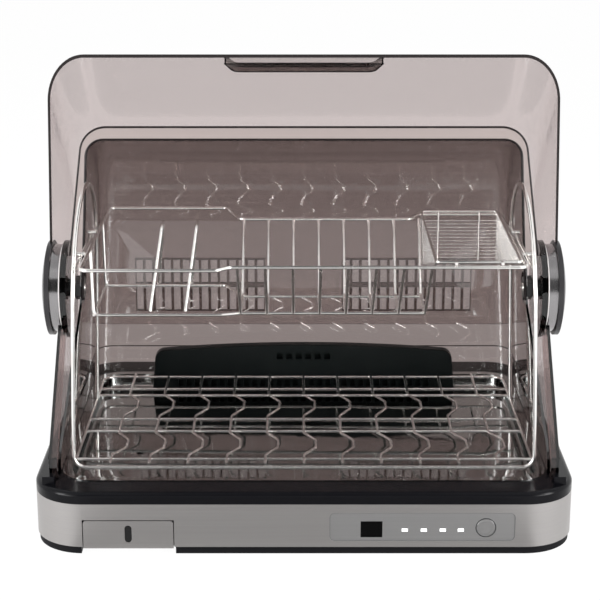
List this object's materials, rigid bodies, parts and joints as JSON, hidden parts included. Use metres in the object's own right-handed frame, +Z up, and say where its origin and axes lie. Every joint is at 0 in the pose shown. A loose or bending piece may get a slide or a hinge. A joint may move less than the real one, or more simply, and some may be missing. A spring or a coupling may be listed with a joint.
{
  "type": "countertop dish dryer",
  "caption": "Countertop dish dryer with a hot-air base, smoky rear cover and swing-up visor, wire plate racks, a cutlery basket and a pull-out water drawer.",
  "frame": {"origin": "middle of the footprint on the worktop, under the feet", "axes": "+X to the right seen from the front, +Y to the back, +Z up"},
  "size_m": [0.523, 0.38, 0.4389],
  "materials": {
    "dark_plastic": "satin",
    "rubber": "matt",
    "screw_steel": "satin",
    "silver_band": "satin",
    "black_gloss": "gloss",
    "black_matte": "satin",
    "tray_steel": "polished",
    "motor_metal": "satin",
    "plate_silver": "satin",
    "display_black": "gloss",
    "light_lens": "satin",
    "board_green": "satin",
    "vent_dark": "satin",
    "smoky_cover": "clear tinted",
    "cap_grey": "satin",
    "tub_plastic": "satin",
    "rack_chrome": "polished"
  },
  "bodies": {
    "base": {"bottom_pan": "dark_plastic", "rubber_feet": "rubber", "case_screws": "screw_steel", "base_band": "silver_band", "top_deck": "black_gloss", "drip_tray": "tray_steel", "duct_cover": "black_matte", "air_plenum": "black_matte", "blower_housing": "black_matte", "blower_motor": "motor_metal", "heater_block": "motor_metal", "intake_filter": "motor_metal", "control_plate": "plate_silver", "display_window": "display_black", "indicator_lights": "light_lens", "control_board": "board_green", "button_switch": "black_matte", "cord_gland": "black_matte", "drawer_runner": "dark_plastic", "left_cheek": "smoky_cover", "right_cheek": "smoky_cover", "left_hinge_pin": "motor_metal", "right_hinge_pin": "motor_metal", "left_hinge_nut": "black_matte", "right_hinge_nut": "black_matte", "rear_cover": "smoky_cover", "vent_screens": "vent_dark"},
    "door": {"door_visor": "smoky_cover", "door_handle": "smoky_cover", "left_hinge_cap": "cap_grey", "right_hinge_cap": "cap_grey"},
    "drawer": {"drawer_tub": "tub_plastic", "drawer_front": "silver_band", "drawer_window": "black_matte"},
    "button": {"power_button": "plate_silver"},
    "fan": {"blower_impeller": "black_matte", "blower_shaft": "screw_steel"},
    "lower_rack": {"rack_front_bar": "rack_chrome", "left_rack_arch": "rack_chrome", "right_rack_arch": "rack_chrome", "rack_floor": "rack_chrome", "left_rack_rail": "rack_chrome", "right_rack_rail": "rack_chrome"},
    "upper_rack": {"upper_rack_rim": "rack_chrome", "upper_rack_front": "rack_chrome", "upper_rack_rear": "rack_chrome", "upper_rack_floor": "rack_chrome", "plate_hoops": "rack_chrome", "rack_hooks": "rack_chrome"},
    "cutlery_basket": {"basket_rim": "rack_chrome", "basket_tabs": "rack_chrome", "basket_back": "rack_chrome", "basket_left_side": "rack_chrome", "basket_right_side": "rack_chrome", "basket_floor": "rack_chrome"}
  },
  "joints": [
    {"name": "door_hinge", "type": "hinge", "parent": "base", "child": "door", "pos_m": [0, 0.005, 0.202], "axis": [1, 0, 0], "range_deg": [0, 121.5]},
    {"name": "drawer_slide", "type": "slide", "parent": "base", "child": "drawer", "axis": [0, 1, 0], "range_m": [-0.15, 0]},
    {"name": "button_press", "type": "slide", "parent": "base", "child": "button", "axis": [0, 1, 0], "range_m": [0, 0.0008], "stiffness_N_per_m": 800},
    {"name": "fan_spin", "type": "hinge", "parent": "base", "child": "fan", "pos_m": [0.075, 0.04, 0.027], "axis": [0, 0, 1], "continuous": true},
    {"name": "lower_rack_slide", "type": "slide", "parent": "base", "child": "lower_rack", "axis": [0, 1, 0], "range_m": [-0.3, 0]},
    {"name": "upper_rack_lift", "type": "slide", "parent": "lower_rack", "child": "upper_rack", "axis": [0, 0, -1], "range_m": [-0.04, 0]},
    {"name": "basket_lift", "type": "slide", "parent": "upper_rack", "child": "cutlery_basket", "axis": [0, 0, -1], "range_m": [-0.04, 0]}
  ]
}
